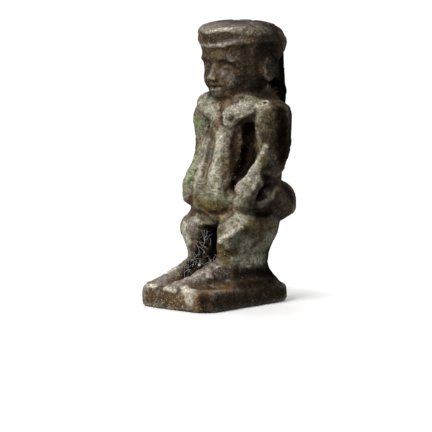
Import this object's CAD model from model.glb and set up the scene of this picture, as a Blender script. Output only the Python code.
import math

import bmesh
import bpy
import numpy as np
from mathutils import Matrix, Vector
from mathutils.bvhtree import BVHTree


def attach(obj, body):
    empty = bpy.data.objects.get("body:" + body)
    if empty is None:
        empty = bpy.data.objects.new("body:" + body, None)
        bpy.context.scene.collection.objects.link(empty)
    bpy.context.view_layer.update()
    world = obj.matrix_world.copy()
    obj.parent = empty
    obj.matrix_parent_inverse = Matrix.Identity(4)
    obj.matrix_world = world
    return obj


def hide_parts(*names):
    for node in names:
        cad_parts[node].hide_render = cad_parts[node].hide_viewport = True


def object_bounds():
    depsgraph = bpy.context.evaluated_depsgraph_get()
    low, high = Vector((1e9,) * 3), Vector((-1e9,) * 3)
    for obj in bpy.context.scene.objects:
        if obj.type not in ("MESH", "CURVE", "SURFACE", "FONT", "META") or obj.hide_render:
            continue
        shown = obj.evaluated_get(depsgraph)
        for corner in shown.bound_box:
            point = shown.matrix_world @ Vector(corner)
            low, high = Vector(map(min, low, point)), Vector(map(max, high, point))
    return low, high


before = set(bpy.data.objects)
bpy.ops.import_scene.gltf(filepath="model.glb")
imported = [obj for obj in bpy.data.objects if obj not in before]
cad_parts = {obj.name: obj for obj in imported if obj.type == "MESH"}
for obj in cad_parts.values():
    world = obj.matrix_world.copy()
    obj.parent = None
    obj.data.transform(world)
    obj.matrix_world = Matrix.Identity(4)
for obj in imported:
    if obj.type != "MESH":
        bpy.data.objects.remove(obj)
cad_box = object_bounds()
scene = bpy.context.scene


# The moulded body
# Quartz paste pressed into an open mould, fired once and glazed as one with its plinth. The
# skin starts from the solid's own form, is made fine, and then gets the forms of the mould.
MM = 0.001
# How far apart the skin's points are, how many passes wear it round, and how far apart corners
# of the solid's loose triangles may lie and still be one
SKIN_GRAIN = 0.147 * MM
SKIN_WEAR = 6
WELD = 0.002 * MM
# Keeps a division by a length from failing where the length is nothing
TINY = 1e-9


def plain(source, name):
    """The object's mesh with its modifiers applied, as plain mesh data."""
    bpy.context.view_layer.update()
    graph = bpy.context.evaluated_depsgraph_get()
    made = bpy.data.meshes.new_from_object(source.evaluated_get(graph))
    made.name = name
    return made


cast = bmesh.new()
cast.from_mesh(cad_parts["amulet"].data)
bmesh.ops.remove_doubles(cast, verts=cast.verts, dist=WELD)
cast_mesh = bpy.data.meshes.new("cast")
cast.to_mesh(cast_mesh)
cast.free()
blank = bpy.data.objects.new("blank", cast_mesh)
scene.collection.objects.link(blank)
fine = blank.modifiers.new("fine", "REMESH")
fine.mode = "VOXEL"
fine.voxel_size = SKIN_GRAIN
soft = blank.modifiers.new("soft", "SMOOTH")
soft.factor = 0.5
soft.iterations = SKIN_WEAR
body_mesh = plain(blank, "amulet_body")
bpy.data.objects.remove(blank)

count = len(body_mesh.vertices)
flat = np.empty(count * 3)
body_mesh.vertices.foreach_get("co", flat)
skin = flat.reshape(count, 3) / MM
facing = np.empty(count * 3)
body_mesh.vertices.foreach_get("normal", facing)
facing = facing.reshape(count, 3)
pairs = np.empty(len(body_mesh.edges) * 2, dtype=int)
body_mesh.edges.foreach_get("vertices", pairs)
pairs = pairs.reshape(-1, 2)
degree = np.bincount(pairs.ravel(), minlength=count)


def hold(path, radius, sides=(1,)):
    """How strongly a stroke along a path, in millimetres, takes hold of each point of the skin."""
    strongest = np.zeros(count)
    for side in sides:
        line = np.array(path, dtype=float) * (side, 1, 1)
        nearest = np.full(count, np.inf)
        for start, end in zip(line, line[1:] if len(line) > 1 else line):
            run = end - start
            share = np.clip((skin - start) @ run / max(float(run @ run), TINY), 0, 1)
            gap = np.linalg.norm(skin - start - share[:, None] * run, axis=1)
            nearest = np.minimum(nearest, gap)
        strongest = np.maximum(strongest, np.clip(1 - (nearest / radius) ** 2, 0, 1) ** 2)
    return strongest


def press(path, radius, depth, sides=(1,)):
    """Sinks the skin along a stroke, in millimetres, or raises it where the depth is negative."""
    fall = hold(path, radius, sides)
    mean = fall @ facing
    push = facing + mean / max(np.linalg.norm(mean), TINY)
    push /= np.maximum(np.linalg.norm(push, axis=1, keepdims=True), TINY)
    skin[:] = skin - push * (depth * fall)[:, None]


def eased(values, passes):
    """Values at the skin's points, mixed with those of their neighbours in each pass."""
    wide = values.reshape(count, -1)
    for _ in range(passes):
        near = np.empty_like(wide)
        for k in range(wide.shape[1]):
            near[:, k] = (np.bincount(pairs[:, 0], wide[pairs[:, 1], k], count)
                          + np.bincount(pairs[:, 1], wide[pairs[:, 0], k], count)) / degree
        wide = (wide + near) / 2
    return wide.reshape(values.shape)


# Breasts: the near one's rounded lower edge, with the undercut below it, and the far one's edge.
# The last stroke fills out the belly's far side.
BREAST_EDGE = [(1.0, 0.2, 20.9), (1.3, 0.3, 20.0), (1.8, 0.5, 19.8), (2.6, 0.6, 20.2),
               (3.4, 0.6, 20.7), (4.4, 1.0, 21.3), (4.9, 1.5, 21.9)]
press(BREAST_EDGE, 0.55, -0.15)
press([(1.6, 0.3, 19.1), (2.4, 0.5, 19.4), (3.2, 1.2, 19.9)], 0.8, 0.24)
press([(0.3, 0.2, 20.8), (0.6, 0.1, 19.8)], 0.7, 0.10)
press([(-1.6, 0.4, 20.0), (-3.0, 0.6, 19.8)], 0.7, 0.12)
press([(-2.6, 0.0, 17.4), (-2.6, -0.4, 15.8), (-2.6, -1.2, 13.6)], 1.0, -0.30)
# The belly's two long folds with the crease between them, and its side falling away to the slot
press([(0.9, -0.2, 18.4), (1.1, -1.0, 16.6), (1.2, -1.6, 14.8), (1.7, -1.7, 13.2), (1.9, -1.6, 12.0)],
      1.5, -0.14)
press([(-1.4, -0.3, 17.6), (-1.1, -0.9, 16.1), (-1.1, -1.7, 14.3), (-1.0, -2.1, 12.7)], 1.6, -0.08)
press([(-0.2, -0.1, 18.5), (-0.2, -0.6, 16.4), (-0.1, -1.3, 14.6), (0.3, -2.1, 13.1), (0.3, -2.3, 12.2)],
      0.6, 0.16)
press([(2.8, 0.8, 18.6), (3.0, 0.7, 16.6), (3.1, 0.5, 14.6)], 1.1, 0.50)
press([(2.9, 2.2, 19.6), (2.8, 2.3, 17.5), (2.9, 1.8, 15.9), (3.0, 0.6, 14.2), (3.3, -0.2, 13.2)],
      0.8, 0.40, (1, -1))
press([(2.6, 1.8, 15.4), (2.5, 1.2, 14.4)], 0.9, 0.25)
# Shoulder and arm worn round, the edge that runs on as the forearm's upper ridge, the fist with
# the grooves between its fingers, and the paste behind the fist
press([(6.0, 3.8, 22.2), (5.6, 4.8, 22.0)], 1.6, 0.30)
press([(6.9, 2.6, 21.2), (7.0, 2.6, 19.4), (7.0, 2.8, 17.4)], 1.5, 0.34)
press([(4.3, 2.2, 19.6), (4.6, 2.0, 18.4), (4.3, 2.0, 17.0)], 0.4, -0.12)
press([(5.9, 1.7, 17.5), (5.2, 1.3, 16.3), (4.6, 0.8, 15.3), (4.4, -0.4, 14.0)], 0.6, -0.16)
press([(5.8, 0.7, 14.4), (5.7, 0.0, 13.0), (5.2, -0.6, 12.2)], 0.5, -0.14)
press([(6.3, 1.5, 14.8), (6.1, 1.9, 13.9)], 0.9, 0.36)
press([(4.6, 3.4, 12.8), (4.4, 2.8, 12.3)], 1.0, -0.50)
press([(3.4, -1.4, 12.6), (3.6, -1.6, 11.4)], 0.4, 0.14)
press([(4.4, -1.6, 12.9), (4.4, -1.7, 11.6)], 0.3, 0.10)
# The roll of the hip behind the fist, and the deep groove between the hip and the thigh
press([(6.4, 3.4, 14.6), (5.4, 4.2, 12.9), (5.4, 3.4, 11.9), (5.2, 2.0, 11.4)], 0.5, -0.12)
press([(5.0, 1.2, 10.3), (4.9, 3.3, 10.2), (4.8, 4.8, 10.8)], 0.6, 0.25)
# Crease under the belly, and the web of paste in the crotch below it
press([(-0.4, -2.0, 10.6), (0.7, -1.5, 9.9), (2.2, -1.1, 10.1), (3.2, -0.7, 11.1)], 0.5, 0.20)
press([(-1.6, -0.6, 9.2), (-1.0, -0.2, 8.9), (-0.4, 0.2, 8.9)], 1.0, -0.45)
# Thigh: the fold's ridge over the knee, and the shin filled out below it
press([(2.8, -2.3, 7.3), (3.4, -2.3, 7.8), (4.1, -1.8, 8.2), (4.6, -0.6, 8.9)], 0.8, -0.32)
press([(3.5, -1.7, 6.7), (3.9, -1.0, 6.2), (3.8, -0.6, 5.4)], 1.2, -0.36)
# Plinth: the near corner rounded off, its side's top edge a low swelling, three low lumps where
# the toes run over its front edge with grooves between them, and lumps on the feet
press([(5.0, -7.2, 0.6), (5.0, -7.2, 1.8)], 1.5, 0.40)
press([(4.4, -5.8, 2.4), (4.7, -4.2, 2.4), (4.8, -2.0, 2.4)], 0.8, -0.10)
press([(-3.6, -6.9, 2.3), (-2.5, -6.9, 2.4)], 0.6, -0.16)
press([(-1.5, -6.9, 2.3), (0.4, -7.0, 2.2)], 0.6, -0.16)
press([(1.7, -6.6, 2.4), (2.8, -6.9, 2.1), (2.9, -7.2, 1.5)], 1.1, -0.20)
press([(-2.05, -7.1, 2.4), (-2.0, -7.1, 1.9)], 0.45, 0.18)
for lump in ((2.6, -4.1, 3.8), (2.6, -2.5, 4.7), (1.5, -4.4, 3.5), (0.6, -5.4, 3.1), (-2.9, -4.6, 3.4)):
    press([lump], 0.55, -0.16)
press([(1.0, -7.1, 2.4), (1.1, -7.1, 1.8)], 0.45, 0.22)
# Coarse paste that never closed over the feet, left as small lumps and dents in front of the
# shins and between the plinth's top and the ankles
GRAVEL_LUMPS = 90
GRAVEL_RADIUS = 0.34
SHIN_FRONT, PLINTH_TOP, ANKLE_HEIGHT = -1.4, 2.6, 4.9
draw = np.random.default_rng(12)
ahead, height = skin[:, 1], skin[:, 2]
on_feet = np.flatnonzero((ahead < SHIN_FRONT) & (height > PLINTH_TOP) & (height < ANKLE_HEIGHT))
for lump, depth in zip(draw.choice(on_feet, GRAVEL_LUMPS), draw.uniform(-0.13, 0.12, GRAVEL_LUMPS)):
    press([skin[lump]], GRAVEL_RADIUS, depth)
# Face: calm, on the usual proportions, with lids, brows, nostrils and lips worn like the rest.
# It is set out on the figure's own upright frame, across and up from its soles.
SOLE_HEIGHT = 2.4
FACE_TURN = math.radians(6)
CLEAR_OF_FACE = 20
front = BVHTree.FromPolygons((skin * MM).tolist(), [list(f.vertices) for f in body_mesh.polygons])


def on_face(path, side):
    """Points across and up the face, as places on its skin in the scene's frame."""
    inward = Vector((math.sin(FACE_TURN), math.cos(FACE_TURN), 0))
    places = []
    for across, up in path:
        start = Vector((across * side * math.cos(FACE_TURN), -across * side * math.sin(FACE_TURN),
                        up + SOLE_HEIGHT))
        found = front.ray_cast((start - inward * CLEAR_OF_FACE) * MM, inward)[0]
        places.append(tuple(found / MM))
    return places


for path, radius, depth in (
    ([(0.75, 23.62), (1.10, 23.92), (1.60, 24.02), (2.15, 23.80)], 0.24, 0.10),
    ([(0.80, 23.58), (1.25, 23.38), (1.75, 23.40), (2.20, 23.66)], 0.22, 0.08),
    ([(1.20, 23.68), (1.70, 23.72)], 0.42, -0.08),
    ([(0.80, 24.45), (1.60, 24.75), (2.60, 24.50)], 0.38, -0.09),
    ([(0.62, 22.45)], 0.36, -0.10),
    ([(0.30, 22.12)], 0.20, 0.10),
    ([(0.80, 22.75), (1.15, 22.00)], 0.30, 0.07),
    ([(0.00, 21.52), (0.60, 21.52), (1.10, 21.60)], 0.22, 0.12),
    ([(0.10, 21.82), (0.80, 21.74)], 0.26, -0.08),
    ([(0.00, 21.18), (0.65, 21.24)], 0.30, -0.09),
    ([(0.00, 20.92), (0.50, 20.95)], 0.24, 0.06),
):
    for side in (1, -1):
        press(on_face(path, side), radius, depth)
# Cap: the rim of its top, its side sunk between rim and headband, and the headband
press([(-2.6, 0.5, 29.6), (-0.9, -0.8, 29.9), (1.5, -0.6, 30.2), (2.8, 0.3, 30.4)], 0.5, -0.10)
press([(-2.4, 0.0, 29.2), (-0.8, -0.9, 29.2), (2.0, -0.7, 29.5), (3.2, 0.0, 29.6)], 0.6, 0.14)
press([(-2.4, 0.1, 28.4), (-0.9, -0.7, 28.4), (1.4, -0.8, 28.5), (2.6, -0.4, 28.8)], 0.45, -0.12)
# The cap's back edge worn round on the near side, and its side and the loop filled out below
press([(4.4, 5.0, 30.5), (4.8, 5.8, 30.1)], 1.8, 0.42)
press([(4.2, 6.2, 30.3), (3.8, 6.9, 30.1)], 1.3, 0.34)
press([(4.7, 6.2, 28.3), (4.4, 7.0, 27.4)], 1.2, -0.30)
press([(2.7, 8.2, 23.0), (2.7, 8.4, 21.6)], 1.2, -0.30)
# The hollow behind the fist made shallow, and the buttock flattened above and filled out below
press([(4.9, 2.9, 12.7), (5.1, 2.8, 12.0)], 0.8, -0.32)
press([(4.2, 7.1, 12.9), (4.6, 7.0, 12.3)], 1.2, 0.20)
press([(4.6, 7.7, 10.0)], 1.1, -0.18)
# A burst bubble in the glaze on the shoulder, with its raised lip, and single pits
BUBBLE = (5.3, 2.3, 22.3)
NECK_PIT = (2.7, 0.5, 22.6)
press([BUBBLE], 0.9, -0.22)
press([BUBBLE], 0.45, 0.46)
for pit in (NECK_PIT, (-4.0, 2.7, 18.9), (2.1, -1.0, 10.6), (4.6, 0.2, 4.2)):
    press([pit], 0.3, 0.22)
skin = eased(skin, 1)


# The glaze's relief
# The glaze ran and pitted over coarse paste: slow unevenness, a fine grain, and pits where
# bubbles burst. Geometry Nodes lay all three over the skin along its normals.


def node(tree, kind, inputs=None, **settings):
    """Adds a node, sets it, and fills its inputs with values or links them to other nodes."""
    made = tree.nodes.new(kind)
    for name, value in settings.items():
        setattr(made, name, value)
    for key, value in (inputs or {}).items():
        if isinstance(value, bpy.types.Node):
            value = value.outputs[0]
        if isinstance(value, bpy.types.NodeSocket):
            tree.links.new(value, made.inputs[key])
        else:
            made.inputs[key].default_value = value
    return made


def nodes_tree(name, sizes):
    """A Geometry Nodes tree with a mesh in and out and a named input for each size."""
    tree = bpy.data.node_groups.new(name, "GeometryNodeTree")
    tree.interface.new_socket("Mesh", in_out="INPUT", socket_type="NodeSocketGeometry")
    tree.interface.new_socket("Mesh", in_out="OUTPUT", socket_type="NodeSocketGeometry")
    for size in sizes:
        tree.interface.new_socket(size, in_out="INPUT", socket_type="NodeSocketFloat")
    return tree, tree.nodes.new("NodeGroupInput"), tree.nodes.new("NodeGroupOutput")


def set_sizes(thing, tree, sizes):
    """Hangs the tree on the object and sets its named inputs, each by its identifier."""
    modifier = thing.modifiers.new(tree.name, "NODES")
    modifier.node_group = tree
    for item in tree.interface.items_tree:
        if item.in_out == "INPUT" and item.name in sizes:
            modifier[item.identifier] = sizes[item.name]


relief_sizes = {
    "Unevenness": 0.05 * MM,
    "Unevenness Size": 2.0 * MM,
    "Grain": 0.014 * MM,
    "Grain Size": 0.5 * MM,
    "Pit Depth": 0.07 * MM,
    "Pit Spacing": 1.1 * MM,
}
relief, given, result = nodes_tree("glaze_relief", relief_sizes)
where = node(relief, "GeometryNodeInputPosition")
outward = node(relief, "GeometryNodeInputNormal")
waves = []
for height, size, seed in (("Unevenness", "Unevenness Size", 3.0), ("Grain", "Grain Size", 11.0)):
    times = node(relief, "ShaderNodeMath", {0: 1.0, 1: given.outputs[size]}, operation="DIVIDE")
    noise = node(relief, "ShaderNodeTexNoise",
                 {"Vector": where, "W": seed, "Scale": times, "Detail": 3.0}, noise_dimensions="4D")
    centred = node(relief, "ShaderNodeMath", {0: noise, 1: 0.5}, operation="SUBTRACT")
    doubled = node(relief, "ShaderNodeMath", {0: centred, 1: 2.0}, operation="MULTIPLY")
    waves.append(node(relief, "ShaderNodeMath", {0: doubled, 1: given.outputs[height]},
                      operation="MULTIPLY"))
times = node(relief, "ShaderNodeMath", {0: 1.0, 1: given.outputs["Pit Spacing"]}, operation="DIVIDE")
cells = node(relief, "ShaderNodeTexVoronoi", {"Vector": where, "Scale": times})
chance = node(relief, "FunctionNodeSeparateColor", {0: cells.outputs["Color"]})
pit_rim = node(relief, "ShaderNodeMapRange",
               {0: chance.outputs[0], 1: 0.70, 2: 1.0, 3: 0.0, 4: 0.26})
pit = node(relief, "ShaderNodeMapRange", {0: cells.outputs["Distance"], 1: 0.0, 2: pit_rim, 3: -1.0,
                                          4: 0.0}, interpolation_type="SMOOTHSTEP")
dip = node(relief, "ShaderNodeMath", {0: pit, 1: given.outputs["Pit Depth"]}, operation="MULTIPLY")
both = node(relief, "ShaderNodeMath", {0: waves[0], 1: waves[1]}, operation="ADD")
total = node(relief, "ShaderNodeMath", {0: both, 1: dip}, operation="ADD")
offset = node(relief, "ShaderNodeVectorMath", {0: outward, "Scale": total}, operation="SCALE")
moved = node(relief, "GeometryNodeSetPosition", {"Geometry": given.outputs["Mesh"], "Offset": offset})
real = node(relief, "GeometryNodeRealizeInstances", {0: moved})
# The glaze's own nodes are laid down further on, once the skin carries its wear
glaze = bpy.data.materials.new("glazed_faience")
made = node(relief, "GeometryNodeSetMaterial", {0: real, "Material": glaze})
relief.links.new(made.outputs[0], result.inputs["Mesh"])

body_mesh.vertices.foreach_set("co", (skin * MM).ravel())
body_mesh.update()
glazed = bpy.data.objects.new("glazed", body_mesh)
scene.collection.objects.link(glazed)
set_sizes(glazed, relief, relief_sizes)
body_mesh = plain(glazed, "amulet_body")
bpy.data.objects.remove(glazed)
body_mesh.vertices.foreach_get("co", flat)
skin = flat.reshape(count, 3) / MM
# The relief stays inside the solid's own box, which keeps the plinth's underside flat
skin = np.clip(skin, np.array(cad_box[0]) / MM, np.array(cad_box[1]) / MM)
body_mesh.vertices.foreach_set("co", (skin * MM).ravel())
body_mesh.update()


# Where the surface is worn, stained and dusty
# Handling rubbed the high places down to the buff core, and burial stained the glaze. Each
# kind of wear is an attribute of the skin, worked out from its form or laid on in strokes.


def keep(name, values):
    """Stores values, held between 0 and 1, as a named attribute of the skin's points."""
    layer = body_mesh.attributes.new(name, "FLOAT", "POINT")
    layer.data.foreach_set("value", np.clip(values, 0, 1).astype(np.float32))


normal = np.empty(count * 3)
body_mesh.vertices.foreach_get("normal", normal)
facing = normal.reshape(count, 3)
# A crest stands out from the skin around it, eased over about two millimetres. Half a millimetre
# out counts as all crest and half a millimetre in as all hollow. The plinth's near corner is
# rounded but kept its glaze, so it counts for less.
BROAD_PASSES = 160
CREST_HEIGHT = 0.5
CORNER_KEPT = 0.4
broad = ((skin - eased(skin, BROAD_PASSES)) * facing).sum(axis=1)
corner = hold([(4.8, -7.0, 0.4), (4.8, -7.0, 2.2)], 1.8)
keep("crest", (0.5 + broad / CREST_HEIGHT / 2) * (1 - CORNER_KEPT * corner))

# Each stroke is a path over the skin, its radius in millimetres, and how strong it is. Greyed,
# plum, pale, green, olive and rusty stains come first, then bare core and soot, and last where
# the grit and the lint lie.
strokes = {
    "weathered": (
        ([(-3.4, 1.4, 21.2), (-1.6, 0.4, 21.0)], 2.6, 1.0),
        ([(3.8, 1.4, 22.6), (5.0, 2.0, 22.2), (4.9, 1.5, 20.8)], 1.3, 1.0),
        ([(-3.8, 1.0, 18.4), (-2.4, -1.2, 14.8), (-1.6, -1.8, 12.2)], 2.6, 1.0),
        ([(0.9, -0.3, 18.6), (0.9, -1.4, 15.5), (1.2, -1.9, 12.5), (2.4, -1.4, 11.6)], 1.9, 1.0),
        ([(4.6, 1.8, 19.6), (4.9, 1.6, 18.0), (5.0, 1.4, 16.6)], 0.8, 0.8),
        ([(5.6, 1.6, 17.4), (6.3, 1.9, 16.6), (6.3, 1.8, 15.6)], 1.1, 0.45),
        ([(5.4, 1.3, 16.4), (4.8, 0.4, 14.8), (4.7, -0.4, 13.4), (4.6, -0.9, 12.0)], 1.7, 0.8),
        ([(3.8, -1.0, 11.4), (4.3, -0.6, 10.4), (3.6, -1.2, 9.8)], 1.6, 1.0),
        ([(3.2, -2.2, 7.6), (4.2, -1.6, 8.6), (4.6, -0.2, 9.6)], 1.9, 1.0),
        ([(4.4, 0.0, 7.0), (4.3, 2.4, 6.4), (4.6, 4.4, 8.0)], 2.4, 1.0),
        ([(3.4, -0.8, 5.4), (4.1, 3.0, 5.0)], 1.7, 1.0),
        ([(3.2, -2.4, 5.4), (2.8, -3.2, 4.6)], 1.4, 0.9),
        ([(-3.6, -1.6, 8.4), (-3.0, -1.8, 6.6), (-2.6, -1.6, 5.4)], 1.4, 0.9),
        ([(-2.8, -4.0, 3.7), (-2.9, -5.6, 3.1)], 1.2, 0.5),
        ([(-4.6, 3.0, 20.0), (-4.8, 2.0, 16.5), (-4.4, 0.2, 13.0)], 1.8, 0.9),
        ([(-2.0, 9.4, 11.0), (1.5, 9.2, 10.5)], 2.2, 0.6),
        ([(-4.5, 6.0, 20.0), (-3.8, 7.0, 15.0)], 1.8, 0.6),
        ([(-1.8, -0.9, 28.0), (-1.6, -1.2, 24.0)], 1.2, 0.3),
        ([(-1.6, -0.8, 9.2), (0.2, -0.5, 9.4), (1.8, -1.0, 9.8)], 1.1, 1.0),
    ),
    "plum": (
        ([(-2.6, 1.6, 31.0), (-0.4, 1.6, 31.0), (0.8, 4.0, 31.2), (3.0, 4.0, 31.0)], 3.0, 0.8),
        ([(3.6, 0.6, 5.6), (3.9, 0.0, 5.0)], 0.8, 0.8),
        ([(4.4, 2.2, 8.8), (4.6, 4.2, 9.2)], 1.2, 0.7),
        ([(1.6, 0.4, 21.4), (3.2, 1.0, 22.0)], 1.4, 0.7),
        ([(-2.5, -1.3, 9.2), (-1.8, -1.1, 8.1), (-1.7, -1.6, 6.6)], 0.9, 1.0),
        ([(2.2, -2.4, 4.6), (1.6, -4.0, 3.6), (0.8, -5.4, 3.0)], 1.4, 1.0),
        ([(-0.1, -0.1, 18.3), (0.0, -0.6, 16.4), (0.1, -1.3, 14.8)], 0.5, 0.6),
        ([(2.0, -0.9, 25.6), (2.2, -0.8, 24.0)], 1.2, 0.8),
        ([(-2.9, -5.0, 3.2), (-2.6, -6.2, 2.8), (1.0, -6.2, 2.7)], 1.0, 0.9),
    ),
    "pale": (
        ([(-3.5, -1.5, 8.6), (-3.2, -1.5, 7.6), (-2.9, -1.6, 6.7)], 1.0, 1.0),
        ([(2.8, -2.2, 7.4), (3.4, -2.2, 7.9), (4.1, -1.8, 8.3), (4.6, -0.6, 9.0)], 0.6, 1.0),
        ([(4.0, -1.0, 9.8), (4.6, -0.2, 9.7), (4.9, 0.6, 9.4)], 1.0, 0.6),
        ([(0.9, -0.2, 18.6), (1.1, -1.0, 16.8)], 0.9, 0.9),
        ([(1.1, -1.4, 15.4), (1.3, -1.8, 13.8), (1.7, -1.8, 12.8)], 1.3, 0.55),
        ([(-1.4, -0.3, 17.8), (-1.2, -1.0, 16.0), (-1.1, -1.8, 13.8)], 1.3, 0.5),
        ([(5.9, 1.7, 17.6), (5.2, 1.3, 16.3), (4.6, 0.8, 15.3), (4.4, -0.4, 14.0)], 0.55, 1.0),
        ([(5.8, 0.6, 14.3), (5.7, 0.0, 13.2)], 0.45, 0.9),
        ([(5.6, 4.0, 13.2), (5.4, 3.6, 12.2), (5.4, 3.0, 11.7), (5.2, 1.7, 11.4)], 0.4, 0.8),
        ([(2.6, -4.1, 3.8), (2.4, -3.7, 4.1)], 0.5, 1.0),
        ([(2.6, -2.5, 4.7), (3.0, -1.6, 5.0)], 0.6, 1.0),
        ([(4.4, 0.2, 6.8), (4.4, 2.4, 6.6), (4.4, 4.0, 7.2)], 1.9, 0.85),
        ([(3.7, -0.6, 5.2), (4.0, 0.8, 5.0), (4.2, 2.8, 5.0)], 1.1, 1.0),
        ([(-3.0, 0.8, 21.8), (-1.8, 0.4, 21.2), (-0.4, 0.3, 21.2)], 1.3, 0.7),
        ([(1.6, 0.1, 21.0), (2.6, 0.1, 21.5), (4.0, 0.5, 22.0)], 1.1, 0.8),
        ([(-2.1, -0.8, 9.4), (-1.0, -0.7, 9.0), (0.7, -0.9, 9.6)], 1.0, 0.75),
        (BREAST_EDGE, 0.7, 0.9),
        ([BUBBLE], 0.9, 0.8),
        ([(-3.0, -3.2, 4.2), (-3.1, -4.4, 3.6)], 0.8, 0.9),
        ([(1.9, -3.4, 4.0), (1.0, -4.8, 3.3)], 0.9, 0.6),
        ([(5.0, 7.6, 10.6), (4.6, 7.6, 9.6), (4.2, 7.0, 9.0)], 0.7, 0.6),
    ),
    "green": (
        ([(-5.3, 2.5, 19.7), (-4.5, 2.4, 19.3)], 1.2, 1.0),
        ([(-4.8, 1.6, 16.4), (-4.4, 0.8, 14.3), (-3.4, -1.0, 12.6), (-1.6, -2.0, 11.6),
          (0.4, -2.2, 11.2)], 1.7, 0.75),
        ([(0.8, -2.0, 11.6), (2.6, -1.2, 11.4)], 1.3, 0.6),
        ([(4.6, -0.4, 8.6), (4.8, 1.4, 8.2)], 1.3, 0.3),
        ([(3.6, -1.2, 11.4), (4.8, -0.4, 11.2)], 1.2, 0.5),
        ([(6.0, 1.6, 16.0), (6.2, 1.5, 15.0)], 1.2, 0.45),
        ([(-4.0, -1.2, 8.2), (-3.6, -1.2, 6.6)], 0.7, 0.5),
    ),
    "olive": (
        ([(4.8, -0.5, 8.6), (4.9, 0.4, 8.3), (5.0, 1.2, 8.1)], 1.1, 1.0),
        ([(5.7, 1.4, 16.4), (6.1, 1.5, 15.6), (6.1, 1.3, 14.9)], 0.8, 0.9),
        ([(4.9, 2.6, 9.0), (4.9, 3.8, 8.8)], 1.0, 0.9),
        ([(3.9, -1.0, 7.0), (3.7, -1.0, 5.9)], 0.8, 0.8),
        ([(-0.8, -0.8, 29.3), (2.0, -0.6, 29.7), (4.2, 1.1, 29.8)], 0.7, 0.35),
        ([(0.9, -1.6, 27.0), (0.6, -1.8, 24.0)], 2.2, 0.75),
        ([(6.0, 2.2, 20.8), (6.2, 2.0, 18.6)], 1.5, 0.7),
        ([(-1.0, -2.2, 11.6), (0.6, -2.1, 11.1), (2.4, -1.4, 11.0)], 1.1, 1.0),
        ([(4.6, 1.4, 7.2), (4.4, 3.6, 6.0)], 1.8, 0.35),
        ([(4.9, -0.2, 12.0), (4.4, -0.8, 11.0)], 1.0, 0.5),
        ([(2.4, 0.2, 17.6), (2.4, 0.0, 15.6)], 0.8, 0.6),
        ([(3.0, 1.0, 20.4), (3.4, 1.4, 19.8)], 0.8, 0.5),
        ([(-1.6, -0.7, 9.3), (0.2, -0.5, 9.4), (1.6, -0.9, 9.7)], 1.0, 0.5),
        ([(4.8, 0.0, 8.7), (5.1, 1.4, 9.1), (4.8, 0.4, 9.4)], 0.8, 1.0),
        ([(2.7, -2.1, 6.8), (2.8, -1.8, 5.8), (3.0, -1.6, 5.0)], 1.1, 1.0),
        ([(4.9, 2.2, 7.4), (4.6, 1.2, 6.4)], 0.8, 0.9),
    ),
    "rust": (
        ([(-0.4, -2.0, 10.7), (0.7, -1.3, 10.0), (2.2, -0.9, 10.1), (3.0, -0.6, 11.0)], 0.9, 0.65),
        ([(-1.8, -0.8, 9.4), (-0.9, -0.2, 9.0), (0.0, -0.4, 9.4)], 1.0, 0.35),
        ([(-0.2, 0.7, 21.0), (0.2, 0.4, 20.0), (0.3, 0.0, 19.2)], 0.7, 0.6),
        ([(3.6, -7.2, 0.8), (3.9, -7.1, 2.0), (4.6, -5.8, 2.5), (4.9, -2.8, 2.4)], 0.9, 1.0),
        ([(-5.0, -6.6, 1.6), (-5.0, -5.0, 1.6)], 1.0, 0.8),
        ([(-4.0, -7.2, 1.4), (3.0, -7.2, 1.2)], 1.3, 0.35),
        ([(2.5, 0.6, 18.2), (2.6, 0.6, 16.6), (2.6, 0.3, 15.0)], 1.0, 0.6),
        ([(4.6, 3.4, 26.4), (5.0, 3.6, 25.4)], 1.4, 0.5),
        ([(2.8, -0.6, 3.9), (3.8, 0.8, 3.7)], 0.8, 0.4),
        ([(5.4, 2.9, 12.1), (5.3, 2.5, 11.2)], 0.8, 0.45),
    ),
    "bare": (
        (BREAST_EDGE[:-1], 0.45, 0.95),
        ([BUBBLE], 0.85, 0.6),
        ([(2.9, -2.4, 7.3), (3.5, -2.4, 7.8), (4.1, -1.9, 8.2), (4.6, -0.8, 8.9)], 0.4, 0.85),
        ([(-3.5, -6.9, 2.4), (-2.5, -7.0, 2.4)], 0.5, 0.8),
        ([(-1.5, -7.0, 2.4), (0.5, -7.1, 2.2)], 0.5, 0.8),
        ([(1.7, -6.8, 2.5), (2.6, -7.0, 2.2), (2.7, -7.2, 1.3)], 1.15, 0.95),
        ([(-2.5, 0.3, 29.6), (-0.2, -0.9, 29.9), (1.4, -0.6, 30.3), (2.4, 0.0, 30.5)], 0.38, 0.6),
        ([(2.2, 0.0, 30.4), (3.4, 1.2, 30.6)], 0.35, 0.4),
        ([(-2.2, 0.1, 28.4), (0.0, -0.8, 28.4), (2.1, -0.6, 28.6)], 0.45, 0.75),
        ([(2.1, -0.6, 28.6), (2.9, -0.2, 28.9)], 0.4, 0.45),
        ([(4.3, 6.6, 28.2), (5.4, 4.8, 26.6), (5.4, 4.0, 25.4), (4.9, 3.4, 24.7)], 0.4, 0.35),
    ),
    "soot": (
        ([(2.9, 2.4, 19.6), (2.9, 2.6, 17.9), (2.9, 2.2, 16.4), (2.9, 1.2, 14.8), (2.9, 0.0, 13.3)],
         1.1, 1.0),
        ([(3.9, 3.2, 19.2), (4.0, 3.0, 17.6), (3.7, 2.4, 16.4), (3.5, 1.6, 15.0)], 1.2, 1.0),
        ([(6.2, 1.4, 14.6), (5.4, 2.6, 13.4), (4.9, 3.2, 12.8)], 1.0, 0.7),
        ([(-0.6, 1.2, 8.4), (-0.6, -0.6, 6.4), (0.2, -2.6, 3.6)], 1.3, 1.0),
        ([(0.4, 1.4, 7.4), (0.6, 0.4, 5.6), (0.9, -1.4, 4.2)], 1.5, 1.0),
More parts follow.
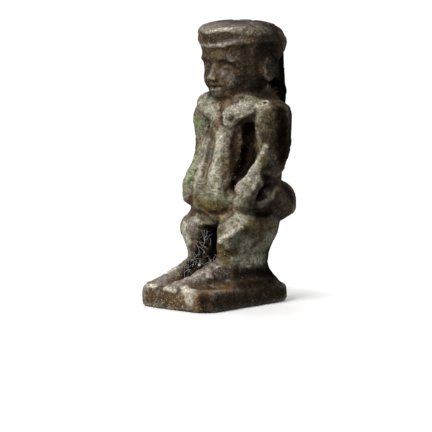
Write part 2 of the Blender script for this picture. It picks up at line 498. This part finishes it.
        ([(-1.0, 1.2, 7.6), (-0.8, 1.2, 5.7), (-0.8, 0.4, 4.8)], 1.5, 1.0),
        ([(-1.5, 0.2, 7.6), (-1.5, -0.8, 5.6), (-1.5, -2.7, 4.0), (-0.8, -4.0, 3.2)], 1.0, 1.0),
        ([(4.2, 6.6, 26.0), (3.0, 7.8, 23.6), (3.0, 7.4, 21.4)], 1.8, 0.9),
        ([(2.7, 8.0, 27.4), (2.8, 8.1, 25.0), (2.8, 8.0, 22.6)], 1.4, 0.85),
        ([(3.2, 3.0, 24.0), (3.9, 3.6, 23.6)], 0.9, 0.7),
        ([(6.8, 3.2, 21.4), (7.0, 3.2, 19.0), (7.0, 3.4, 16.4)], 1.7, 0.85),
        ([(6.9, 4.8, 21.2), (7.0, 5.0, 18.0), (6.8, 5.0, 15.6)], 2.6, 0.60),
        ([(6.0, 1.9, 20.8), (6.2, 2.0, 18.4)], 1.6, 0.52),
        ([(4.6, 6.6, 12.9), (5.0, 6.8, 11.8)], 1.6, 0.68),
        ([(3.1, -3.2, 3.5), (3.4, -2.4, 3.4)], 0.6, 0.8),
        ([(4.6, -7.1, 0.6), (4.6, -7.0, 1.9)], 1.3, 0.8),
        ([(3.6, -0.4, 3.5), (4.4, 2.6, 3.4), (4.6, 5.4, 3.4)], 1.5, 0.85),
        ([(4.6, -0.8, 2.5), (4.8, 4.0, 2.5)], 1.1, 0.65),
        ([(3.6, 4.4, 31.0), (4.6, 5.6, 30.0), (4.4, 3.0, 29.0)], 3.0, 0.60),
        ([(-1.6, 2.2, 31.1), (1.2, 2.6, 31.2), (2.4, 5.0, 31.2)], 2.6, 0.55),
        ([(4.2, 3.4, 27.0), (4.2, 5.4, 25.0)], 3.0, 0.84),
        ([(3.4, 0.6, 27.8), (3.4, 0.6, 24.6)], 2.4, 0.42),
        ([(2.2, -0.6, 27.6), (2.6, -0.6, 24.4)], 1.6, 0.3),
        ([(-1.6, -0.6, 29.2), (1.2, -0.8, 29.2), (3.2, 0.0, 29.6)], 0.5, 0.45),
        ([(6.7, 2.0, 16.8), (6.3, 1.7, 15.4)], 1.7, 0.60),
        ([(-2.3, -1.4, 6.2), (-2.2, -1.6, 5.2)], 0.6, 0.5),
        ([NECK_PIT], 0.35, 1.0),
        ([BUBBLE], 0.4, 1.0),
        ([(2.4, 2.2, 17.0), (2.6, 2.4, 16.2), (2.6, 2.0, 15.2), (2.6, 1.5, 14.4)], 1.1, 1.0),
        ([(3.5, 2.5, 16.6), (3.4, 2.3, 15.9), (3.0, 2.1, 15.0)], 0.9, 1.0),
        ([(4.6, 1.8, 10.0), (4.7, 3.0, 9.9), (4.8, 4.0, 10.2)], 0.8, 0.80),
        ([(5.1, -5.0, 1.2), (5.1, 6.0, 1.2)], 1.8, 0.42),
        ([(4.8, -0.3, 8.6), (4.9, 0.5, 8.4)], 0.7, 0.35),
        ([(4.9, 1.5, 9.3), (4.9, 2.8, 9.2)], 0.8, 0.40),
        ([(2.6, 0.2, 17.4), (2.7, -0.2, 14.6), (2.9, -0.8, 12.8)], 0.7, 0.35),
        ([(5.0, 1.9, 7.6), (4.8, 2.8, 7.0)], 0.6, 0.15),
    ),
    "gritty": (
        ([(-4.4, -7.0, 1.2), (0.0, -7.3, 1.2), (3.4, -7.1, 1.0)], 1.5, 1.0),
        ([(5.0, -5.0, 0.8), (5.0, 4.0, 0.8)], 0.8, 0.15),
        ([(-1.0, 0.4, 21.4), (-0.4, 0.2, 19.6), (0.6, 0.0, 22.4)], 1.4, 0.35),
        ([(2.4, -2.6, 4.4), (1.4, -4.4, 3.4), (0.4, -5.6, 3.0)], 1.2, 0.6),
        ([(2.0, -0.9, 22.8), (3.4, 0.6, 22.6)], 1.0, 0.3),
        ([(-1.6, -0.6, 9.2), (-0.6, -0.2, 9.0), (1.6, -1.0, 9.8)], 1.0, 0.45),
        ([(-2.2, -1.1, 8.6), (-1.7, -1.1, 7.0)], 0.8, 0.35),
        ([(2.7, -2.1, 6.8), (3.0, -1.7, 5.0)], 0.9, 0.35),
        ([(0.0, -0.9, 28.9), (2.4, -0.5, 28.9), (2.8, -0.3, 28.2)], 0.8, 0.25),
        ([(1.0, -1.4, 25.8), (0.8, -1.6, 24.0)], 1.2, 0.15),
        ([(2.8, 2.2, 18.6), (2.9, 1.6, 15.8), (2.8, 0.2, 13.8)], 0.9, 0.15),
    ),
    "linty": (
        ([(-1.2, 0.2, 7.6), (-1.4, -0.8, 5.4), (-1.5, -2.7, 4.0), (-1.0, -3.8, 3.4)], 0.9, 1.0),
        ([(0.2, 0.0, 6.4), (0.8, -1.8, 4.6)], 0.9, 0.6),
        ([(1.4, -3.6, 3.6), (1.0, -5.0, 3.0)], 0.9, 0.25),
        ([(2.8, 1.6, 16.0), (2.8, 0.4, 14.3), (2.9, -0.2, 13.3)], 0.8, 0.35),
        ([(3.6, 3.6, 23.8), (2.9, 6.0, 23.4)], 0.8, 0.25),
    ),
}
for name, laid in strokes.items():
    amount = np.zeros(count)
    for path, radius, strength in laid:
        amount = np.maximum(amount, hold(path, radius) * strength)
    keep(name, amount)


# Glazed faience
# A thin glassy coat over a buff quartz core, fired brown to olive and greyed by burial. It
# gives soft, slightly wet highlights, broken where the coat is pitted or rubbed away.


def linear(hex_colour):
    """An sRGB hex colour as linear RGBA."""
    parts = [int(hex_colour[k:k + 2], 16) / 255 for k in (1, 3, 5)]
    return (*[p / 12.92 if p <= 0.04045 else ((p + 0.055) / 1.055) ** 2.4 for p in parts], 1.0)


MOTTLE_SIZE = 2.6 * MM
SPECKLE_SIZE = 0.45 * MM
QUARTZ_GRAIN = 0.16 * MM
PORE_SPACING = 0.7 * MM
BUMP_HEIGHT = 0.05 * MM
glaze.use_nodes = True
coat = glaze.node_tree
shader = coat.nodes["Principled BSDF"]
place = node(coat, "ShaderNodeTexCoord").outputs["Object"]

mottle = node(coat, "ShaderNodeTexNoise", {"Vector": place, "Scale": 1 / MOTTLE_SIZE, "Detail": 5.0,
                                           "Roughness": 0.6})
mottled = node(coat, "ShaderNodeMapRange", {0: mottle, 1: 0.38, 2: 0.62})
colour = node(coat, "ShaderNodeMix", {0: mottled, 6: linear("#21170c"), 7: linear("#523e24")},
              data_type="RGBA").outputs[2]
# Each layer: its attribute, its colour, the size of its patches, how broken its edge is, and
# between which amounts it comes in. The ochre veil has no attribute and lies over all the skin.
for name, hue, patch, broken, low, high in (
    ("weathered", "#7b7761", 0.9 * MM, 1.5, 0.10, 1.00),
    ("plum", "#655a53", 0.7 * MM, 1.2, 0.10, 0.95),
    ("pale", "#aaa793", 0.7 * MM, 1.4, 0.10, 1.00),
    (None, "#574b28", 1.1 * MM, 1.0, 0.02, 0.30),
    ("rust", "#6b4a26", 0.6 * MM, 0.9, 0.10, 0.90),
    ("crest", "#958c7c", 0.5 * MM, 0.30, 0.60, 1.00),
    ("green", "#737b57", 0.8 * MM, 1.0, 0.08, 1.05),
    ("olive", "#5d5029", 0.7 * MM, 1.1, 0.12, 0.90),
    ("bare", "#b4aa99", 0.5 * MM, 0.35, 0.10, 0.85),
    ("soot", "#130c08", 0.6 * MM, 0.5, 0.05, 0.80),
):
    laid = node(coat, "ShaderNodeAttribute", attribute_name=name).outputs["Fac"] if name else 0.0
    patches = node(coat, "ShaderNodeTexNoise", {"Vector": place, "Scale": 1 / patch, "Detail": 4.0})
    shifted = node(coat, "ShaderNodeMath", {0: patches, 1: 0.5}, operation="SUBTRACT")
    edge = node(coat, "ShaderNodeMath", {0: shifted, 1: broken, 2: laid}, operation="MULTIPLY_ADD")
    mask = node(coat, "ShaderNodeMapRange", {0: edge, 1: low, 2: high},
                interpolation_type="SMOOTHSTEP")
    colour = node(coat, "ShaderNodeMix", {0: mask, 6: colour, 7: linear(hue)},
                  data_type="RGBA").outputs[2]
# Dirt in the hollows
crest = node(coat, "ShaderNodeAttribute", attribute_name="crest").outputs["Fac"]
hollow = node(coat, "ShaderNodeMapRange", {0: crest, 1: 0.28, 2: -0.10})
colour = node(coat, "ShaderNodeMix", {0: hollow, 6: colour, 7: linear("#1c120b")},
              data_type="RGBA").outputs[2]
# The crushed quartz shows through the glaze: each grain, a sixth of a millimetre wide, has its
# own tone, over soft speckle three times as wide, and one in ten stands out pale
speckle = node(coat, "ShaderNodeTexNoise", {"Vector": place, "Scale": 1 / SPECKLE_SIZE,
                                            "Detail": 2.0, "Roughness": 0.6})
soft_light = node(coat, "ShaderNodeMapRange", {0: speckle, 1: 0.32, 2: 0.68, 3: 0.62, 4: 1.38})
grain = node(coat, "ShaderNodeTexVoronoi", {"Vector": place, "Scale": 1 / QUARTZ_GRAIN})
tone = node(coat, "ShaderNodeSeparateColor", {0: grain.outputs["Color"]})
grain_light = node(coat, "ShaderNodeMapRange", {0: tone.outputs[0], 3: 0.50, 4: 1.50})
light = node(coat, "ShaderNodeMath", {0: soft_light, 1: grain_light}, operation="MULTIPLY")
colour = node(coat, "ShaderNodeVectorMath", {0: colour, "Scale": light}, operation="SCALE").outputs[0]
# Soot hides the pale grains, and it is duller than the glaze
sooty = node(coat, "ShaderNodeAttribute", attribute_name="soot").outputs["Fac"]
picked = node(coat, "ShaderNodeMapRange", {0: tone.outputs[1], 1: 0.90, 2: 1.0, 4: 0.34})
clean = node(coat, "ShaderNodeMapRange", {0: sooty, 1: 0.0, 2: 0.9, 3: 1.0, 4: 0.0})
quartz_share = node(coat, "ShaderNodeMath", {0: picked, 1: clean}, operation="MULTIPLY")
colour = node(coat, "ShaderNodeMix", {0: quartz_share, 6: colour, 7: linear("#a3947a")},
              data_type="RGBA").outputs[2]
# Pores are dark pinholes in the coat
pores = node(coat, "ShaderNodeTexVoronoi", {"Vector": place, "Scale": 1 / PORE_SPACING})
pore = node(coat, "ShaderNodeMapRange", {0: pores, 1: 0.06, 2: 0.18, 3: 0.5, 4: 1.0})
colour = node(coat, "ShaderNodeVectorMath", {0: colour, "Scale": pore}, operation="SCALE").outputs[0]
coat.links.new(colour, shader.inputs["Base Color"])
gloss = node(coat, "ShaderNodeMapRange", {0: speckle, 1: 0.3, 2: 0.7, 3: 0.44, 4: 0.64})
rough = node(coat, "ShaderNodeMath", {0: sooty, 1: 0.45, 2: gloss}, operation="MULTIPLY_ADD")
coat.links.new(rough.outputs[0], shader.inputs["Roughness"])
shine = node(coat, "ShaderNodeMapRange", {0: sooty, 1: 0.0, 2: 0.8, 3: 0.5, 4: 0.05})
coat.links.new(shine.outputs[0], shader.inputs["Specular IOR Level"])
raised = node(coat, "ShaderNodeMath", {0: grain_light, 1: 0.5, 2: speckle}, operation="MULTIPLY_ADD")
sunk = node(coat, "ShaderNodeMath", {0: raised, 1: pore}, operation="ADD")
bump = node(coat, "ShaderNodeBump", {"Strength": 0.8, "Distance": BUMP_HEIGHT, "Height": sunk})
coat.links.new(bump.outputs[0], shader.inputs["Normal"])
shader.inputs["IOR"].default_value = 1.5

body_mesh.materials.clear()
body_mesh.materials.append(glaze)
body_mesh.polygons.foreach_set("material_index", np.zeros(len(body_mesh.polygons), dtype=np.int32))
body_mesh.shade_smooth()
body = bpy.data.objects.new("amulet_body", body_mesh)
scene.collection.objects.link(body)
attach(body, "root")
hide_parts("amulet")


# Quartz grit
# Where the coat is thin, above all on the plinth's front, grains of the crushed quartz body
# stand out of it. Geometry Nodes strew them over the skin, each sunk to its middle.

# Crushed quartz: broken glassy grains, clear to buff, each with a small sharp glint
quartz = bpy.data.materials.new("crushed_quartz")
quartz.use_nodes = True
grains = quartz.node_tree
shader = grains.nodes["Principled BSDF"]
spot = node(grains, "ShaderNodeTexCoord").outputs["Object"]
kind = node(grains, "ShaderNodeTexNoise", {"Vector": spot, "Scale": 1 / (0.5 * MM), "Detail": 2.0})
sorted_kind = node(grains, "ShaderNodeMapRange", {0: kind, 1: 0.40, 2: 0.62})
tint = node(grains, "ShaderNodeMix", {0: sorted_kind, 6: linear("#7b6039"), 7: linear("#cbb88f")},
            data_type="RGBA")
grains.links.new(tint.outputs[2], shader.inputs["Base Color"])
shader.inputs["Roughness"].default_value = 0.35
shader.inputs["IOR"].default_value = 1.54

grit_sizes = {"Grain Width": 0.13 * MM, "Closest": 0.21 * MM}
strewn, given, result = nodes_tree("quartz_grit", grit_sizes)
gritty = node(strewn, "GeometryNodeInputNamedAttribute", {"Name": "gritty"}).outputs[0]
spacing = node(strewn, "ShaderNodeMath", {0: given.outputs["Closest"], 1: -2.0}, operation="POWER")
density = node(strewn, "ShaderNodeMath", {0: spacing, 1: gritty}, operation="MULTIPLY")
points = node(strewn, "GeometryNodeDistributePointsOnFaces",
              {"Mesh": given.outputs["Mesh"], "Density": density, "Seed": 5})
radius = node(strewn, "ShaderNodeMath", {0: given.outputs["Grain Width"], 1: 0.5},
              operation="MULTIPLY")
ball = node(strewn, "GeometryNodeMeshIcoSphere", {"Radius": radius, "Subdivisions": 1})
sized = node(strewn, "FunctionNodeRandomValue", {0: (0.3, 0.3, 0.2), 1: (1.3, 1.0, 0.8), "Seed": 8},
             data_type="FLOAT_VECTOR")
turned = node(strewn, "FunctionNodeRandomValue", {0: (0, 0, 0), 1: (3, 3, 3), "Seed": 9},
              data_type="FLOAT_VECTOR")
placed = node(strewn, "GeometryNodeInstanceOnPoints",
              {"Points": points, "Instance": ball, "Scale": sized.outputs[0],
               "Rotation": turned.outputs[0]})
real = node(strewn, "GeometryNodeRealizeInstances", {0: placed})
made = node(strewn, "GeometryNodeSetMaterial", {0: real, "Material": quartz})
strewn.links.new(made.outputs[0], result.inputs["Mesh"])


def grown(name, tree, sizes):
    """A new piece grown by a tree over the glazed body, as a plain mesh that rides with it."""
    base = bpy.data.objects.new(name + "_base", body_mesh)
    scene.collection.objects.link(base)
    set_sizes(base, tree, sizes)
    piece = bpy.data.objects.new(name, plain(base, name))
    bpy.data.objects.remove(base)
    scene.collection.objects.link(piece)
    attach(piece, "root")
    return piece


grit = grown("quartz_grit", strewn, grit_sizes)


# Lint
# Cotton fibres have caught in the gap between the legs and in the slot beside the arm. Each is a
# thin bent tube, a few hundredths of a millimetre thick, and a pale crumb lies among them.

# Spun cotton: dull white fibres, greyed by dust
cotton = bpy.data.materials.new("cotton_fibre")
cotton.use_nodes = True
fibre = cotton.node_tree
shader = fibre.nodes["Principled BSDF"]
spot = node(fibre, "ShaderNodeTexCoord").outputs["Object"]
dusty = node(fibre, "ShaderNodeTexNoise", {"Vector": spot, "Scale": 1 / (0.6 * MM), "Detail": 1.0})
tint = node(fibre, "ShaderNodeMix", {0: dusty, 6: linear("#7d7a77"), 7: linear("#eceae6")},
            data_type="RGBA")
fibre.links.new(tint.outputs[2], shader.inputs["Base Color"])
shader.inputs["Roughness"].default_value = 0.9

FIBRE_BOW = 0.30
CRUMB_RADIUS = 0.16 * MM
CRUMB_PLACE = (-1.0 * MM, -1.4 * MM, 4.25 * MM)
lint_sizes = {"Fibre Length": 1.15 * MM, "Fibre Width": 0.028 * MM, "Closest": 0.23 * MM}
tangle, given, result = nodes_tree("lint", lint_sizes)
linty = node(tangle, "GeometryNodeInputNamedAttribute", {"Name": "linty"}).outputs[0]
spacing = node(tangle, "ShaderNodeMath", {0: given.outputs["Closest"], 1: -2.0}, operation="POWER")
density = node(tangle, "ShaderNodeMath", {0: spacing, 1: linty}, operation="MULTIPLY")
points = node(tangle, "GeometryNodeDistributePointsOnFaces",
              {"Mesh": given.outputs["Mesh"], "Density": density, "Seed": 3})
half = node(tangle, "ShaderNodeMath", {0: given.outputs["Fibre Length"], 1: 0.5},
            operation="MULTIPLY")
bow = node(tangle, "ShaderNodeMath", {0: given.outputs["Fibre Length"], 1: FIBRE_BOW},
           operation="MULTIPLY")
behind = node(tangle, "ShaderNodeMath", {0: half, 1: -1.0}, operation="MULTIPLY")
ends = [node(tangle, "ShaderNodeCombineXYZ", {0: x, 1: y})
        for x, y in ((behind, 0.0), (0.0, bow), (half, 0.0))]
thread = node(tangle, "GeometryNodeCurveQuadraticBezier",
              {"Resolution": 8, "Start": ends[0], "Middle": ends[1], "End": ends[2]})
thin = node(tangle, "ShaderNodeMath", {0: given.outputs["Fibre Width"], 1: 0.5},
            operation="MULTIPLY")
section = node(tangle, "GeometryNodeCurvePrimitiveCircle", {"Resolution": 4, "Radius": thin})
tube = node(tangle, "GeometryNodeCurveToMesh", {"Curve": thread, "Profile Curve": section,
                                                "Fill Caps": True})
sized = node(tangle, "FunctionNodeRandomValue", {2: 0.5, 3: 1.3, "Seed": 4})
turned = node(tangle, "FunctionNodeRandomValue", {0: (0, 0, 0), 1: (6.28, 6.28, 6.28), "Seed": 6},
              data_type="FLOAT_VECTOR")
placed = node(tangle, "GeometryNodeInstanceOnPoints",
              {"Points": points, "Instance": tube, "Scale": sized.outputs[1],
               "Rotation": turned.outputs[0]})
crumb = node(tangle, "GeometryNodeMeshIcoSphere", {"Radius": CRUMB_RADIUS, "Subdivisions": 2})
dropped = node(tangle, "GeometryNodeTransform", {0: crumb, "Translation": CRUMB_PLACE})
together = node(tangle, "GeometryNodeJoinGeometry", {0: placed})
tangle.links.new(dropped.outputs[0], together.inputs[0])
real = node(tangle, "GeometryNodeRealizeInstances", {0: together})
made = node(tangle, "GeometryNodeSetMaterial", {0: real, "Material": cotton})
tangle.links.new(made.outputs[0], result.inputs["Mesh"])
lint = grown("lint", tangle, lint_sizes)


# The table top, the light and the camera
# A plain pale table, one large soft lamp from the figure's front and high, and weak ones from
# its left side and from behind. The table is bright to the camera and dull to the amulet.
TABLE_RADIUS = 3.0
TABLE_CORNERS = 48
SHADOW_FADES_FROM, SHADOW_FADES_TO = 7 * MM, 16 * MM
table_mesh = bpy.data.meshes.new("table_top")
turns = [math.tau * k / TABLE_CORNERS for k in range(TABLE_CORNERS)]
ring = [(TABLE_RADIUS * math.cos(turn), TABLE_RADIUS * math.sin(turn), 0.0) for turn in turns]
table_mesh.from_pydata(ring, [], [tuple(range(TABLE_CORNERS))])
table = bpy.data.objects.new("table_top", table_mesh)
scene.collection.objects.link(table)

# White paper: matt, with the amulet's soft shadow fading out a short way from it
paper = bpy.data.materials.new("white_paper")
paper.use_nodes = True
sheet = paper.node_tree
sheet.nodes.remove(sheet.nodes["Principled BSDF"])
spot = node(sheet, "ShaderNodeTexCoord").outputs["Object"]
away = node(sheet, "ShaderNodeVectorMath", {0: spot}, operation="LENGTH").outputs["Value"]
fade = node(sheet, "ShaderNodeMapRange", {0: away, 1: SHADOW_FADES_FROM, 2: SHADOW_FADES_TO})
lit = node(sheet, "ShaderNodeBsdfDiffuse", {"Color": linear("#f4f3f1")})
glow = node(sheet, "ShaderNodeEmission", {"Color": (1, 1, 1, 1), "Strength": 1.05})
seen = node(sheet, "ShaderNodeMixShader", {0: fade.outputs[0], 1: lit, 2: glow})
dull = node(sheet, "ShaderNodeBsdfDiffuse", {"Color": linear("#6e6c6a")})
ray = node(sheet, "ShaderNodeLightPath").outputs["Is Camera Ray"]
shown = node(sheet, "ShaderNodeMixShader", {0: ray, 1: dull, 2: seen})
sheet.links.new(shown.outputs[0], sheet.nodes["Material Output"].inputs["Surface"])
table_mesh.materials.append(paper)

world = bpy.data.worlds.new("studio")
scene.world = world
world.use_nodes = True
room = world.node_tree
air = room.nodes["Background"]
ray = node(room, "ShaderNodeLightPath").outputs["Is Camera Ray"]
level = node(room, "ShaderNodeMapRange", {0: ray, 3: 0.11, 4: 1.05})
room.links.new(level.outputs[0], air.inputs["Strength"])
air.inputs["Color"].default_value = (1, 1, 1, 1)
MIDDLE_HEIGHT = 15 * MM


def lamp(name, azimuth, elevation, distance, width, power):
    """A square soft lamp at an azimuth, an elevation and a distance, aimed at the amulet's middle."""
    a, e = math.radians(azimuth), math.radians(elevation)
    middle = Vector((0, 0, MIDDLE_HEIGHT))
    way = Vector((math.sin(a) * math.cos(e), -math.cos(a) * math.cos(e), math.sin(e)))
    data = bpy.data.lights.new(name, "AREA")
    data.size = width
    data.energy = power
    made = bpy.data.objects.new(name, data)
    made.location = middle + way * distance
    made.rotation_mode = "QUATERNION"
    made.rotation_quaternion = (-way).to_track_quat("-Z", "Y")
    scene.collection.objects.link(made)


lamp("key_lamp", -3, 40, 0.45, 0.16, 2.6)
lamp("back_lamp", 238, 52, 0.50, 0.25, 0.9)
lamp("side_lamp", 105, 28, 0.50, 0.25, 0.42)

# The camera stands where the picture was taken from, with a long lens. It looks at the point
# that the picture's middle shows, given across and up from the middle of the plinth's underside.
camera_data = bpy.data.cameras.new("camera")
camera = bpy.data.objects.new("camera", camera_data)
scene.collection.objects.link(camera)
scene.camera = camera
PICTURE_WIDTH = 432
PIXELS_PER_MM = 9.1
SENSOR_WIDTH = 36
DISTANCE = 0.40
camera_data.sensor_width = SENSOR_WIDTH
camera_data.lens = SENSOR_WIDTH * DISTANCE / (PICTURE_WIDTH / PIXELS_PER_MM * MM)
camera_data.clip_start = 0.01
camera_data.clip_end = 20
azimuth, elevation = math.radians(42), math.radians(7.2)
across, up = 0.121 * MM, 9.593 * MM
target = Vector((math.cos(azimuth) * across, math.sin(azimuth) * across, up / math.cos(elevation)))
back = Vector((math.sin(azimuth) * math.cos(elevation), -math.cos(azimuth) * math.cos(elevation),
               math.sin(elevation)))
camera.location = target + back * DISTANCE
camera.rotation_mode = "QUATERNION"
camera.rotation_quaternion = (-back).to_track_quat("-Z", "Y")
scene.view_settings.view_transform = "Standard"
